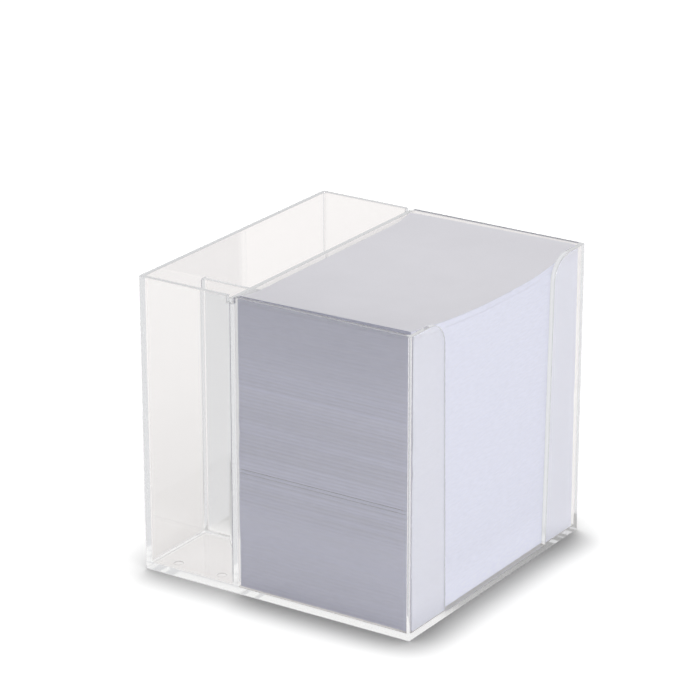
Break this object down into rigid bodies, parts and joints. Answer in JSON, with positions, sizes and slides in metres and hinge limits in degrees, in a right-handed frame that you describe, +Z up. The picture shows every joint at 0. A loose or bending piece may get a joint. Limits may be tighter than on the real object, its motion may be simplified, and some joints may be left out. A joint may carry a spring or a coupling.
{
  "type": "memo box",
  "caption": "Clear moulded memo box with a finger slot in front, a stack of loose white slips, and a divided pen bay behind a partition.",
  "frame": {"origin": "centre of the underside of the box", "axes": "+Z up, -Y towards the finger slot in the front wall, +Y towards the pen bay, +X to the right seen from the front"},
  "size_m": [0.099, 0.096, 0.0954],
  "materials": {
    "clear_plastic": "polished, clear, crystal polystyrene",
    "slips": "uncoated, smooth"
  },
  "bodies": {
    "box": {"memo_box": "clear_plastic"},
    "lower_pack": {"lower_slips_1": "slips", "lower_slips_2": "slips", "lower_slips_3": "slips", "lower_slips_4": "slips", "lower_slips_5": "slips"},
    "upper_pack": {"upper_slips_1": "slips", "upper_slips_2": "slips", "upper_slips_3": "slips", "upper_slips_4": "slips", "upper_slips_5": "slips", "upper_slips_6": "slips"},
    "dished_bundle": {"top_bundle": "slips"},
    "single_slip": {"top_slip": "slips"}
  },
  "joints": [
    {"name": "lift_lower_pack", "type": "slide", "parent": "box", "child": "lower_pack", "axis": [0, 0, 1], "range_m": [0, 0.1]},
    {"name": "lift_upper_pack", "type": "slide", "parent": "lower_pack", "child": "upper_pack", "axis": [0, 0, 1], "range_m": [0, 0.06]},
    {"name": "lift_top_bundle", "type": "slide", "parent": "upper_pack", "child": "dished_bundle", "axis": [0, 0, 1], "range_m": [0, 0.012]},
    {"name": "lift_top_slip", "type": "slide", "parent": "dished_bundle", "child": "single_slip", "axis": [0, 0, 1], "range_m": [0, 0.01]}
  ]
}
